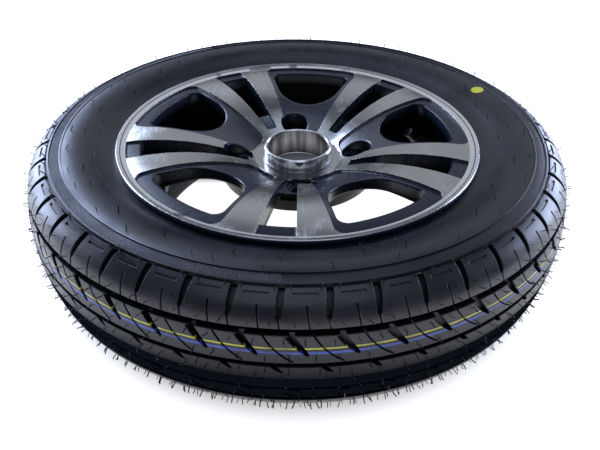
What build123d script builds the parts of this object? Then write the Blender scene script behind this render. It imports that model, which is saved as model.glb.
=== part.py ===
from build123d import *
import os
from math import atan2, cos, degrees, radians, sin, sqrt, tan

# A small alloy wheel with a tubeless tyre and a snap-in valve.
# Millimetres. The wheel axis is Z, the outboard face looks up (+Z) and the origin is the wheel's centre.

# Rim: bead seats, flanges and the drop well between them
BEAD_SEAT_R = 152.0         # radius of the bead seat at its heel
FLANGE_H = 17.3             # height of a flange above its seat
RIM_WIDTH = 76.2            # between the two flanges
FLANGE_T = 10.0             # thickness of a flange along the axis
FLANGE_CURVE_R = 8.0        # roll of a flange towards its lip
LIP_EDGE = 1.5              # chamfer on the edge of a lip
SEAT_TAPER_DEG = 5.0
SEAT_W = 16.0               # width of a bead seat
HUMP_H = 1.2                # safety hump beside the outboard seat
HUMP_W = 6.0
WELL_DEPTH = 16.0           # drop of the well below the seats
WELL_FLOOR_W = 10.0
WELL_TOP_Z = -4.0           # outboard end of the well's floor
BARREL_T = 5.5              # wall of the barrel

# Hub: bore, raised ring, machined flat and mounting pad
BORE_R = 29.0
RING_R = 32.4               # outside of the raised hub ring
RING_TOP_Z = 33.6
RING_CHAMFER = 1.0
RING_STEP = 1.4             # small step round the foot of the ring
HUB_FLAT_R = 41.3
HUB_FLAT_Z = 20.5
PAD_Z = 7.5                 # mounting face: the wheel's offset from its centre plane
PAD_R = 74.0
STUD_COUNT = 4
STUD_PCD = 114.3
STUD_HOLE_R = 7.25
STUD_SEAT_R = 11.0          # wide end of the 60 degree nut seat
STUD_POCKET_R = 14.0        # socket clearance above the seat
STUD_SEAT_Z = 16.5
STUD_ANGLE = 3.75

# Face: turned spokes in pairs, with a slot inside each pair and a window between pairs
PAIR_COUNT = 5
PAIR_ANGLE = 48.1           # direction of the first slot
SLOT_HALF_DEG = 5.7         # slot edge, either side of the pair's centre line
SPOKE_HALF_DEG = 16.3       # window edge, either side of the pair's centre line
FACE_MID_R = 84.0           # a point on the crown of the turned face
FACE_MID_Z = 31.8
FACE_EDGE_DROP = 2.6        # outer edge of the spokes below the lip
LIP_BAND_W = 9.3            # turned band of the lip outside the windows
FOOT_W = 5.0                # turned hub land inside the windows
POCKET_DROP = 2.3           # painted pocket floor below the turned face
LEDGE_DROP = 4.0            # painted ledge at the rim side of a window, below the spokes' edge
LEDGE_STEP = 2.0            # upright edge between the turned band and the ledge
WINDOW_FOOT_R = 84.0        # hub end of the opening through the disc
WINDOW_BORDER = 5.5         # painted border beside the opening
WINDOW_CORNER_R = 9.0
SLOT_FOOT_R = 53.0          # hub end of a slot's sloping floor
SLOT_OPEN_R = 78.0          # a slot goes right through outside this radius
SLOT_FLOOR_DROP = 9.0
DISC_BACK_FOOT = 6.0        # radial run of the step behind the pad
DISC_BACK_Z = 19.5
DISC_BACK_RIM_Z = 26.0

# Tyre section: heights count from the rim's lip or down from the crown
SECTION_H = 79.7            # crown of the tread outside the lip
SHOULDER_DROP = 4.8         # edge of the tread below the crown
SHOULDER_Z = 36.0
SIDE_TOP_DROP = 25.7        # where the shoulder runs into the sidewall, below the crown
SIDE_TOP_RISE = 7.9         # and how far it stands past the lip
SIDE_FOOT_OUT = 16.3        # foot of the sidewall outside the lip
SIDE_FOOT_RISE = 2.4
RIDGE_PLACES = (0.0, 0.26)  # moulded ring lines, as shares of the way down the sidewall
RIDGE_W = 1.5
RIDGE_H = 0.7
CLINCH_W = 4.2              # flat gap between the lip and the sidewall
CLINCH_DROP = 4.4
CROWN_T = 13.5              # tread and belt thickness
SIDEWALL_T = 6.5
BEAD_W = 14.5
BEAD_TOP = 14.0             # height of the thick bead above its toe

# Tread: main grooves round the tyre, and one pitch of cross cuts that repeats
GROOVE_DEPTH = 6.5
GROOVES = ((33.5, 5.0), (6.7, 3.4), (-18.8, 2.0), (-33.5, 5.0))   # place and width of each main groove
PITCH_COUNT = 46
PITCH_ANGLE = -92.6         # direction of one shoulder groove
SHOULDER_CUT_PLACE = 0.56   # its middle, as a share of the shoulder's arc
SHOULDER_CUT_L = 21.0       # wedge-shaped groove across each shoulder
SHOULDER_CUT_W = 7.3        # at the sidewall
SHOULDER_TIP_W = 1.5
SHOULDER_TIP_SKEW = -1.8    # the narrow end lies to one side
SHOULDER_CUT_DEPTH = 5.0
LOWER_TURN = 2.9            # inboard shoulder grooves against the outboard ones, in degrees
NOTCH_TURN = 3.0            # slanted notch in the second rib, in degrees from the shoulder groove
NOTCH_TOP = (-6.2, 31.5)    # middle of its wide end, along the tread and along the axis
NOTCH_TOP_W = 6.2
NOTCH_TIP = (6.2, 15.5)
NOTCH_TIP_W = 1.6
LOW_CUT_TURN = 1.75         # slanted cut in the inboard rib
LOW_CUT_TOP = (-5.0, -25.2)
LOW_CUT_TOP_W = 1.6
LOW_CUT_TIP = (5.0, -32.5)
LOW_CUT_TIP_W = 2.6
CROSS_DEPTH = 5.0           # depth of the notches and cuts

# Valve: measures along its axis start at the tyre side of the well's wall
VALVE_ANGLE = 20.9
VALVE_HOLE_R = 5.7
STEM_BASE_R = 9.5
STEM_BASE_T = 4.5
STEM_BULB_R = 7.6
STEM_TIP_R = 5.0
STEM_LENGTH = 14.0          # rubber outside the rim
TUBE_R = 2.9
TUBE_HEAD_R = 3.85
TUBE_HEAD_L = 8.0
TUBE_PASSAGE_R = 1.3
CORE_R = 2.25
CORE_L = 10.0
CORE_WALL = 0.55
CORE_FLOOR_T = 2.0
PIN_R = 0.6
PIN_TRAVEL = 1.5
PIN_COLLAR_R = 1.25
PIN_COLLAR_T = 0.8
SEAL_R = 1.7
SEAL_T = 1.2
SPRING_WIRE_R = 0.17
SPRING_TURNS = 5
SPRING_L = 5.0
CAP_R = 5.1
CAP_TOP_T = 2.0
CAP_RIBS = 12
CAP_RIB_R = 0.5
CAP_SEAL_T = 1.0

# Clearances
BEAD_GAP = 0.15             # tyre to rim
STEM_GAP = 0.3              # rubber base and bulb to the curved wall
FIT_GAP = 0.05              # small turned and moulded fits
THREAD_GAP = 0.12           # cap over the valve's plain-turned thread
CUT_PAST = 30.0             # how far a cut runs past the metal

# Worked-out places
LIP_R = BEAD_SEAT_R + FLANGE_H
FLANGE_Z = RIM_WIDTH / 2
LIP_Z = FLANGE_Z + FLANGE_T
SEAT_FALL = SEAT_W * tan(radians(SEAT_TAPER_DEG))
SEAT_TOE_R = BEAD_SEAT_R - SEAT_FALL
SEAT_TOE_Z = FLANGE_Z - SEAT_W
WELL_R = BEAD_SEAT_R - WELL_DEPTH
WELL_BOTTOM_Z = WELL_TOP_Z - WELL_FLOOR_W
WALL_RISE = SEAT_TOE_R - WELL_R             # the outboard wall stands at 45 degrees
WALL_TOP_Z = WELL_TOP_Z + WALL_RISE
BARREL_R = BEAD_SEAT_R - BARREL_T
WELL_BACK_R = WELL_R - BARREL_T
WALL_SHIFT = BARREL_T * (sqrt(2) - 1)       # corner of two walls of one thickness, at 45 degrees
FACE_EDGE_R = LIP_R - LIP_BAND_W
FACE_EDGE_Z = LIP_Z - FACE_EDGE_DROP
LEDGE_R = BARREL_R          # the openings are flush with the barrel
LEDGE_Z = FACE_EDGE_Z - LEDGE_DROP
PAIR_PITCH = 360 / PAIR_COUNT
WINDOW_ANGLE = PAIR_ANGLE + PAIR_PITCH / 2
WINDOW_HALF = PAIR_PITCH / 2 - SPOKE_HALF_DEG
WINDOW_IN_R = HUB_FLAT_R + FOOT_W

os.makedirs("parts", exist_ok=True)


def polar(radius, angle):
    return (radius * cos(radians(angle)), radius * sin(radians(angle)))


# Air above the painted pocket floors, as a ring that the windows take their depth from
with BuildPart() as pocket_air:
    with BuildSketch(Plane.XZ):
        with BuildLine():
            floor = ThreePointArc(
                (HUB_FLAT_R, HUB_FLAT_Z - POCKET_DROP),
                (FACE_MID_R, FACE_MID_Z - POCKET_DROP),
                (LEDGE_R, LEDGE_Z),
            )
            Polyline(
                floor @ 1,
                (FACE_EDGE_R, FACE_EDGE_Z - LEDGE_STEP),
                (FACE_EDGE_R, LIP_Z + CUT_PAST),
                (HUB_FLAT_R, LIP_Z + CUT_PAST),
                floor @ 0,
            )
        make_face()
    revolve(axis=Axis.Z)

# Air of the slots: a sloping floor at the hub, right through further out, and the same ledge at the rim
with BuildPart() as slot_air:
    with BuildSketch(Plane.XZ):
        with BuildLine():
            Polyline(
                (SLOT_FOOT_R, LIP_Z + CUT_PAST),
                (SLOT_FOOT_R, HUB_FLAT_Z),
                (SLOT_OPEN_R, FACE_MID_Z - SLOT_FLOOR_DROP),
                (SLOT_OPEN_R, PAD_Z),
                (LEDGE_R - BARREL_T, PAD_Z),
                (LEDGE_R, DISC_BACK_RIM_Z - BARREL_T),
                (LEDGE_R, LEDGE_Z),
                (FACE_EDGE_R, FACE_EDGE_Z - LEDGE_STEP),
                (FACE_EDGE_R, LIP_Z + CUT_PAST),
                close=True,
            )
        make_face()
    revolve(axis=Axis.Z)

# Painted pockets: the turned outline of a window, down to the pocket floor
with BuildPart() as pockets:
    with BuildSketch(Plane.XY):
        with BuildSketch(mode=Mode.PRIVATE) as pocket_outline:
            with BuildLine():
                Line(polar(WINDOW_IN_R, WINDOW_HALF), polar(LIP_R, WINDOW_HALF))
                ThreePointArc(polar(LIP_R, WINDOW_HALF), (LIP_R, 0), polar(LIP_R, -WINDOW_HALF))
                Line(polar(LIP_R, -WINDOW_HALF), polar(WINDOW_IN_R, -WINDOW_HALF))
                Line(polar(WINDOW_IN_R, -WINDOW_HALF), polar(WINDOW_IN_R, WINDOW_HALF))
            make_face()
            Circle(FACE_EDGE_R, mode=Mode.INTERSECT)
            fillet(pocket_outline.vertices(), WINDOW_CORNER_R)
        with PolarLocations(0, PAIR_COUNT, WINDOW_ANGLE):
            add(pocket_outline.sketch)
    extrude(amount=LIP_Z + CUT_PAST)
    add(pocket_air.part, mode=Mode.INTERSECT)

# Openings through the disc: sides beside the spokes, and a round hub end that touches both sides
END_X = (WINDOW_FOOT_R - WINDOW_BORDER) / (1 - sin(radians(WINDOW_HALF)))
END_R = END_X - WINDOW_FOOT_R
END_TOUCH = (END_X - END_R * sin(radians(WINDOW_HALF)), END_R * cos(radians(WINDOW_HALF)))
SIDE_SHIFT = WINDOW_BORDER / cos(radians(WINDOW_HALF))
SIDE_END = (LIP_R, LIP_R * tan(radians(WINDOW_HALF)) - SIDE_SHIFT)
with BuildPart() as openings:
    with BuildSketch(Plane.XY.offset(DISC_BACK_RIM_Z - 2 * BARREL_T)):
        with BuildSketch(mode=Mode.PRIVATE) as opening_outline:
            with BuildLine():
                ThreePointArc((END_TOUCH[0], -END_TOUCH[1]), (WINDOW_FOOT_R, 0), END_TOUCH)
                Line(END_TOUCH, SIDE_END)
                Line(SIDE_END, (SIDE_END[0], -SIDE_END[1]))
                Line((SIDE_END[0], -SIDE_END[1]), (END_TOUCH[0], -END_TOUCH[1]))
            make_face()
            Circle(LEDGE_R, mode=Mode.INTERSECT)
            fillet(opening_outline.vertices().sort_by(Axis.X)[-2:], WINDOW_CORNER_R)
        with PolarLocations(0, PAIR_COUNT, WINDOW_ANGLE):
            add(opening_outline.sketch)
    extrude(amount=LIP_Z + CUT_PAST)
    with BuildSketch(Plane.XY):
        with PolarLocations(0, PAIR_COUNT, WINDOW_ANGLE):
            add(opening_outline.sketch)
        Circle(WELL_BACK_R - BARREL_T, mode=Mode.INTERSECT)
    extrude(amount=LIP_Z)

# Slots between the twin spokes of each pair
with BuildPart() as slots:
    with BuildSketch(Plane.XY):
        with BuildSketch(mode=Mode.PRIVATE) as slot_outline:
            with BuildLine():
                Polyline(
                    polar(SLOT_FOOT_R, SLOT_HALF_DEG),
                    polar(LIP_R, SLOT_HALF_DEG),
                    polar(LIP_R, -SLOT_HALF_DEG),
                    polar(SLOT_FOOT_R, -SLOT_HALF_DEG),
                    close=True,
                )
            make_face()
        with PolarLocations(0, PAIR_COUNT, PAIR_ANGLE):
            add(slot_outline.sketch)
    extrude(amount=LIP_Z + CUT_PAST)
    add(slot_air.part, mode=Mode.INTERSECT)

# One stud hole: socket pocket, 60 degree nut seat and the hole through the pad
with BuildPart() as stud_hole:
    with BuildSketch(Plane.XZ):
        with BuildLine():
            Polyline(
                (0, PAD_Z - CUT_PAST),
                (STUD_HOLE_R, PAD_Z - CUT_PAST),
                (STUD_HOLE_R, STUD_SEAT_Z - (STUD_SEAT_R - STUD_HOLE_R) * sqrt(3)),
                (STUD_SEAT_R, STUD_SEAT_Z),
                (STUD_POCKET_R, STUD_SEAT_Z),
                (STUD_POCKET_R, LIP_Z),
                (0, LIP_Z),
                close=True,
            )
        make_face()
    revolve(axis=Axis.Z)

# The valve's axis leaves the middle of the well's outboard wall, square to it
WALL_MID_R = (WELL_R + SEAT_TOE_R) / 2
WALL_MID_Z = (WELL_TOP_Z + WALL_TOP_Z) / 2
VALVE_ORIGIN = Vector(*polar(WALL_MID_R, VALVE_ANGLE), WALL_MID_Z)
VALVE_DIR = Vector(*polar(-1, VALVE_ANGLE), 1).normalized()
VALVE_SIDE = Vector(*polar(1, VALVE_ANGLE + 90), 0)
VALVE_AXIS = Axis(VALVE_ORIGIN, VALVE_DIR)
VALVE_SECTION = Plane(VALVE_ORIGIN, x_dir=VALVE_SIDE, z_dir=VALVE_SIDE.cross(VALVE_DIR))
VALVE_PLANE = Plane(VALVE_ORIGIN, x_dir=VALVE_SIDE, z_dir=VALVE_DIR)

# The wheel is one casting: hub, disc, barrel and both flanges, turned on its face
with BuildPart() as alloy_wheel:
    with BuildSketch(Plane.XZ):
        with BuildLine():
            hub = Polyline(
                (BORE_R + RING_CHAMFER, PAD_Z),
                (BORE_R, PAD_Z + RING_CHAMFER),
                (BORE_R, RING_TOP_Z - RING_CHAMFER),
                (BORE_R + RING_CHAMFER, RING_TOP_Z),
                (RING_R - RING_CHAMFER, RING_TOP_Z),
                (RING_R, RING_TOP_Z - RING_CHAMFER),
                (RING_R, HUB_FLAT_Z + RING_STEP),
                (RING_R + RING_STEP, HUB_FLAT_Z + RING_STEP),
                (RING_R + RING_STEP, HUB_FLAT_Z),
                (HUB_FLAT_R, HUB_FLAT_Z),
            )
            face = ThreePointArc(hub @ 1, (FACE_MID_R, FACE_MID_Z), (FACE_EDGE_R, FACE_EDGE_Z))
            lip = Polyline(
                face @ 1,
                (LIP_R - LIP_EDGE, LIP_Z),
                (LIP_R, LIP_Z - LIP_EDGE),
                (LIP_R, FLANGE_Z + FLANGE_CURVE_R),
            )
            flange_top = TangentArc(
                lip @ 1, (LIP_R - FLANGE_CURVE_R, FLANGE_Z), tangent=(0, -1)
            )
            seats = Polyline(
                flange_top @ 1,
                (BEAD_SEAT_R, FLANGE_Z),
                (SEAT_TOE_R, SEAT_TOE_Z),
                (SEAT_TOE_R + HUMP_H, SEAT_TOE_Z - HUMP_W / 2),
                (SEAT_TOE_R, SEAT_TOE_Z - HUMP_W),
                (SEAT_TOE_R, WALL_TOP_Z),
                (WELL_R, WELL_TOP_Z),
                (WELL_R, WELL_BOTTOM_Z),
                (SEAT_TOE_R, -SEAT_TOE_Z),
                (BEAD_SEAT_R, -FLANGE_Z),
                (LIP_R - FLANGE_CURVE_R, -FLANGE_Z),
            )
            flange_foot = TangentArc(
                seats @ 1, (LIP_R, -FLANGE_Z - FLANGE_CURVE_R), tangent=(1, 0)
            )
            Polyline(
                flange_foot @ 1,
                (LIP_R, LIP_EDGE - LIP_Z),
                (LIP_R - LIP_EDGE, -LIP_Z),
                (LIP_R - FLANGE_T, -LIP_Z),
                (BARREL_R, -FLANGE_Z),
                (BARREL_R, -SEAT_TOE_Z - BARREL_T),
                (WELL_BACK_R, WELL_BOTTOM_Z - BARREL_T / 2),
                (WELL_BACK_R, WELL_TOP_Z + WALL_SHIFT),
                (BARREL_R, WELL_TOP_Z + WALL_SHIFT + BARREL_R - WELL_BACK_R),
                (BARREL_R, DISC_BACK_RIM_Z),
                (PAD_R + DISC_BACK_FOOT, DISC_BACK_Z),
                (PAD_R, PAD_Z),
                hub @ 0,
            )
        make_face()
    revolve(axis=Axis.Z)
    add(pockets.part, mode=Mode.SUBTRACT)
    add(openings.part, mode=Mode.SUBTRACT)
    add(slots.part, mode=Mode.SUBTRACT)
    with PolarLocations(STUD_PCD / 2, STUD_COUNT, STUD_ANGLE):
        add(stud_hole.part, mode=Mode.SUBTRACT)
    with BuildSketch(VALVE_PLANE):
        Circle(VALVE_HOLE_R)
    extrude(amount=BARREL_T + STEM_BASE_T, both=True, mode=Mode.SUBTRACT)
alloy_wheel.part.label = "alloy_wheel"
export_step(alloy_wheel.part, "parts/alloy_wheel.step")

# Cross cut through a rib: a slanted slot with a width at each end, cut in from the crown
def cross_cut(top, top_width, tip, tip_width):
    along = (Vector(*tip) - Vector(*top)).normalized()
    side = Vector(-along.Y, along.X)
    with BuildPart() as cutter:
        with BuildSketch(Plane((TYRE_R - CROSS_DEPTH, 0, 0), x_dir=(0, 1, 0), z_dir=(1, 0, 0))):
            with BuildLine():
                Polyline(
                    Vector(*top) + side * top_width / 2,
                    Vector(*top) - side * top_width / 2,
                    Vector(*tip) - side * tip_width / 2,
                    Vector(*tip) + side * tip_width / 2,
                    close=True,
                )
            make_face()
        extrude(amount=CUT_PAST)
    return cutter.part


# The tyre: one moulded shell, open between its beads, with the grooves of its tread
TYRE_R = LIP_R + SECTION_H
SHOULDER_R = TYRE_R - SHOULDER_DROP
SIDE_TOP_R = TYRE_R - SIDE_TOP_DROP
SIDE_TOP_Z = LIP_Z + SIDE_TOP_RISE
SIDE_FOOT_R = LIP_R + SIDE_FOOT_OUT
SIDE_FOOT_Z = LIP_Z + SIDE_FOOT_RISE
CROWN_ARC_R = (SHOULDER_Z**2 + SHOULDER_DROP**2) / (2 * SHOULDER_DROP)
CLINCH_R = LIP_R + CLINCH_W
CLINCH_Z = LIP_Z - CLINCH_DROP
CLINCH_CURVE = FLANGE_CURVE_R + BEAD_GAP
CURVE_CENTRE = (LIP_R - FLANGE_CURVE_R, FLANGE_Z + FLANGE_CURVE_R)
CLINCH_END_DEG = -20
CLINCH_END = Vector(*CURVE_CENTRE) + Vector(*polar(CLINCH_CURVE, CLINCH_END_DEG))
TOE_Z = FLANGE_Z - BEAD_W
TOE_R = BEAD_SEAT_R + BEAD_GAP - BEAD_W * tan(radians(SEAT_TAPER_DEG))
with BuildSketch(Plane.XZ) as tyre_section:
    with BuildLine():
        crown = TangentArc((TYRE_R, 0), (SHOULDER_R, SHOULDER_Z), tangent=(0, 1))
        shoulder = TangentArc(crown @ 1, (SIDE_TOP_R, SIDE_TOP_Z), tangent=crown % 1)
        side = TangentArc(shoulder @ 1, (SIDE_FOOT_R, SIDE_FOOT_Z), tangent=shoulder % 1)
        Polyline(side @ 1, (CLINCH_R, CLINCH_Z), CLINCH_END)
        clinch = CenterArc(CURVE_CENTRE, CLINCH_CURVE, CLINCH_END_DEG, -90 - CLINCH_END_DEG)
        bead = Polyline(
            clinch @ 1,
            (BEAD_SEAT_R + BEAD_GAP, FLANGE_Z - BEAD_GAP),
            (TOE_R, TOE_Z),
            (TOE_R + BEAD_TOP, TOE_Z + SIDEWALL_T),
            (SIDE_FOOT_R, SIDE_FOOT_Z - SIDEWALL_T),
        )
        liner_side = ThreePointArc(
            bead @ 1,
            ((SIDE_FOOT_R + SIDE_TOP_R) / 2, SIDE_TOP_Z - SIDEWALL_T * 0.9),
            (SIDE_TOP_R, SIDE_TOP_Z - SIDEWALL_T * 1.3),
        )
        liner_shoulder = TangentArc(
            liner_side @ 1, (SHOULDER_R - CROWN_T, SHOULDER_Z - SIDEWALL_T), tangent=liner_side % 1
        )
        TangentArc((TYRE_R - CROWN_T, 0), liner_shoulder @ 1, tangent=(0, 1))
        mirror(about=Plane.XZ)
    make_face()
    for place, width in GROOVES:
        crown_r = TYRE_R - CROWN_ARC_R + sqrt(CROWN_ARC_R**2 - place**2)
        with Locations((crown_r, place)):
            Rectangle(2 * GROOVE_DEPTH, width, mode=Mode.SUBTRACT)
    for place in RIDGE_PLACES:
        foot = side @ place
        lean = degrees(atan2((side % place).Y, (side % place).X))
        with Locations(foot):
            Rectangle(RIDGE_W, 2 * RIDGE_H, rotation=lean)
        with Locations((foot.X, -foot.Y)):
            Rectangle(RIDGE_W, 2 * RIDGE_H, rotation=-lean)

# Wedge-shaped groove across a shoulder, cut in square to the shoulder's arc
CUT_MIDDLE = shoulder @ SHOULDER_CUT_PLACE
CUT_ALONG = shoulder % SHOULDER_CUT_PLACE
CUT_FLOOR = Plane((CUT_MIDDLE.X, 0, CUT_MIDDLE.Y), x_dir=(0, 1, 0), z_dir=(CUT_ALONG.Y, 0, -CUT_ALONG.X))
with BuildPart() as shoulder_cut:
    with BuildSketch(CUT_FLOOR.offset(-SHOULDER_CUT_DEPTH)):
        with BuildLine():
            Polyline(
                (-SHOULDER_CUT_W / 2, SHOULDER_CUT_L / 2),
                (SHOULDER_CUT_W / 2, SHOULDER_CUT_L / 2),
                (SHOULDER_TIP_SKEW + SHOULDER_TIP_W / 2, -SHOULDER_CUT_L / 2),
                (SHOULDER_TIP_SKEW - SHOULDER_TIP_W / 2, -SHOULDER_CUT_L / 2),
                close=True,
            )
        make_face()
    extrude(amount=2 * SHOULDER_CUT_DEPTH)

rib_notch = cross_cut(NOTCH_TOP, NOTCH_TOP_W, NOTCH_TIP, NOTCH_TIP_W)
low_cut = cross_cut(LOW_CUT_TOP, LOW_CUT_TOP_W, LOW_CUT_TIP, LOW_CUT_TIP_W)
with BuildPart() as tyre:
    add(tyre_section.sketch)
    revolve(axis=Axis.Z)
    with PolarLocations(0, PITCH_COUNT, PITCH_ANGLE):
        add(shoulder_cut.part, mode=Mode.SUBTRACT)
    with PolarLocations(0, PITCH_COUNT, PITCH_ANGLE + LOWER_TURN):
        add(shoulder_cut.part, rotation=(180, 0, 0), mode=Mode.SUBTRACT)
    with PolarLocations(0, PITCH_COUNT, PITCH_ANGLE + NOTCH_TURN):
        add(rib_notch, mode=Mode.SUBTRACT)
    with PolarLocations(0, PITCH_COUNT, PITCH_ANGLE + LOW_CUT_TURN):
        add(low_cut, mode=Mode.SUBTRACT)
tyre.part.label = "tyre"
export_step(tyre.part, "parts/tyre.step")

# Valve heights along its axis
STEM_SEAT = BARREL_T + STEM_GAP
STEM_TOP = STEM_SEAT + STEM_LENGTH
TUBE_TOP = STEM_TOP + FIT_GAP + TUBE_HEAD_L
CORE_BOTTOM = TUBE_TOP - CORE_L - FIT_GAP
CORE_TOP = TUBE_TOP - FIT_GAP
CORE_FLOOR = CORE_BOTTOM + CORE_FLOOR_T
PIN_TOP = CORE_TOP
SPRING_TOP = CORE_FLOOR + FIT_GAP + SPRING_L
SEAL_TOP = CORE_BOTTOM - FIT_GAP
CHAMBER_BOTTOM = SEAL_TOP - SEAL_T - PIN_COLLAR_T - PIN_TRAVEL - SEAL_T
CAP_SEAL_BOTTOM = TUBE_TOP + FIT_GAP
CAP_INSIDE = CAP_SEAL_BOTTOM + CAP_SEAL_T + FIT_GAP
CAP_BOTTOM = STEM_TOP + STEM_GAP
CAP_BORE_R = TUBE_HEAD_R + THREAD_GAP

# Rubber stem, with a foot inside the rim, a waist in the hole and a bulb that holds it
with BuildPart() as valve_stem:
    with BuildSketch(VALVE_SECTION):
        with BuildLine():
            Polyline(
                (TUBE_R + FIT_GAP, -STEM_BASE_T),
                (STEM_BASE_R, -STEM_BASE_T),
                (STEM_BASE_R, -STEM_GAP),
                (VALVE_HOLE_R - FIT_GAP, -STEM_GAP),
                (VALVE_HOLE_R - FIT_GAP, STEM_SEAT),
                (STEM_BULB_R, STEM_SEAT),
                (STEM_TIP_R, STEM_TOP),
                (TUBE_R + FIT_GAP, STEM_TOP),
                close=True,
            )
        make_face()
    revolve(axis=VALVE_AXIS)
valve_stem.part.label = "valve_stem"
export_step(valve_stem.part, "parts/valve_stem.step")

# Brass tube moulded into the stem, with a wide head for the cap and a chamber for the core
with BuildPart() as valve_tube:
    with BuildSketch(VALVE_SECTION):
        with BuildLine():
            Polyline(
                (TUBE_PASSAGE_R, -STEM_BASE_T),
                (TUBE_R, -STEM_BASE_T),
                (TUBE_R, STEM_TOP + FIT_GAP),
                (TUBE_HEAD_R, STEM_TOP + FIT_GAP),
                (TUBE_HEAD_R, TUBE_TOP),
                (CORE_R + FIT_GAP, TUBE_TOP),
                (CORE_R + FIT_GAP, CHAMBER_BOTTOM),
                (TUBE_PASSAGE_R, CHAMBER_BOTTOM),
                close=True,
            )
        make_face()
    revolve(axis=VALVE_AXIS)
valve_tube.part.label = "valve_tube"
export_step(valve_tube.part, "parts/valve_tube.step")

# Core housing: a cup with a guide hole for the pin in its floor
with BuildPart() as core_housing:
    with BuildSketch(VALVE_SECTION):
        with BuildLine():
            Polyline(
                (PIN_R + FIT_GAP, CORE_BOTTOM),
                (CORE_R, CORE_BOTTOM),
                (CORE_R, CORE_TOP),
                (CORE_R - CORE_WALL, CORE_TOP),
                (CORE_R - CORE_WALL, CORE_FLOOR),
                (PIN_R + FIT_GAP, CORE_FLOOR),
                close=True,
            )
        make_face()
    revolve(axis=VALVE_AXIS)
core_housing.part.label = "core_housing"
export_step(core_housing.part, "parts/core_housing.step")

# Core pin: a collar for the spring above, a disc that carries the seal below
with BuildPart() as core_pin:
    with BuildSketch(VALVE_SECTION):
        with BuildLine():
            Polyline(
                (0, SEAL_TOP - SEAL_T - PIN_COLLAR_T),
                (SEAL_R, SEAL_TOP - SEAL_T - PIN_COLLAR_T),
                (SEAL_R, SEAL_TOP - SEAL_T),
                (PIN_R, SEAL_TOP - SEAL_T),
                (PIN_R, SPRING_TOP + FIT_GAP),
                (PIN_COLLAR_R, SPRING_TOP + FIT_GAP),
                (PIN_COLLAR_R, SPRING_TOP + FIT_GAP + PIN_COLLAR_T),
                (PIN_R, SPRING_TOP + FIT_GAP + PIN_COLLAR_T),
                (PIN_R, PIN_TOP),
                (0, PIN_TOP),
                close=True,
            )
        make_face()
    revolve(axis=VALVE_AXIS)
core_pin.part.label = "core_pin"
export_step(core_pin.part, "parts/core_pin.step")

# Rubber seal on the pin's disc, closed against the housing
with BuildPart() as core_seal:
    with BuildSketch(VALVE_SECTION):
        with Locations(((PIN_R + FIT_GAP + SEAL_R) / 2, SEAL_TOP - SEAL_T / 2)):
            Rectangle(SEAL_R - PIN_R - FIT_GAP, SEAL_T - 2 * FIT_GAP)
    revolve(axis=VALVE_AXIS)
core_seal.part.label = "core_seal"
export_step(core_seal.part, "parts/core_seal.step")

# Spring between the housing's floor and the pin's collar
SPRING_MEAN_R = (PIN_R + CORE_R - CORE_WALL) / 2
SPRING_RISE = SPRING_L - 2 * SPRING_WIRE_R
SPRING_FOOT = VALVE_ORIGIN + VALVE_DIR * (CORE_FLOOR + FIT_GAP + SPRING_WIRE_R)
with BuildPart() as core_spring:
    with BuildLine() as coil:
        Helix(SPRING_RISE / SPRING_TURNS, SPRING_RISE, SPRING_MEAN_R, SPRING_FOOT, VALVE_DIR)
    with BuildSketch(Plane(coil.line @ 0, z_dir=coil.line % 0)):
        Circle(SPRING_WIRE_R)
    sweep(is_frenet=True)
core_spring.part.label = "core_spring"
export_step(core_spring.part, "parts/core_spring.step")

# Moulded cap with grip ribs
with BuildPart() as valve_cap:
    with BuildSketch(VALVE_SECTION):
        with BuildLine():
            Polyline(
                (CAP_BORE_R, CAP_BOTTOM),
                (CAP_R, CAP_BOTTOM),
                (CAP_R, CAP_INSIDE + CAP_TOP_T - CAP_RIB_R),
                (CAP_R - CAP_RIB_R, CAP_INSIDE + CAP_TOP_T),
                (0, CAP_INSIDE + CAP_TOP_T),
                (0, CAP_INSIDE),
                (CAP_BORE_R, CAP_INSIDE),
                close=True,
            )
        make_face()
    revolve(axis=VALVE_AXIS)
    with BuildSketch(VALVE_PLANE.offset(CAP_BOTTOM + CAP_TOP_T)):
        with PolarLocations(CAP_R, CAP_RIBS):
            Circle(CAP_RIB_R)
    extrude(amount=CAP_INSIDE + CAP_TOP_T, mode=Mode.SUBTRACT)
valve_cap.part.label = "valve_cap"
export_step(valve_cap.part, "parts/valve_cap.step")

# Sealing washer inside the cap
with BuildPart() as cap_seal:
    with BuildSketch(VALVE_PLANE.offset(CAP_SEAL_BOTTOM)):
        Circle(CAP_BORE_R - FIT_GAP)
    extrude(amount=CAP_SEAL_T)
cap_seal.part.label = "cap_seal"
export_step(cap_seal.part, "parts/cap_seal.step")
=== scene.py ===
from math import atan2, ceil, cos, hypot, pi, radians, sin

import bmesh
import bpy
from mathutils import Matrix, Vector
from mathutils.geometry import delaunay_2d_cdt


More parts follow.
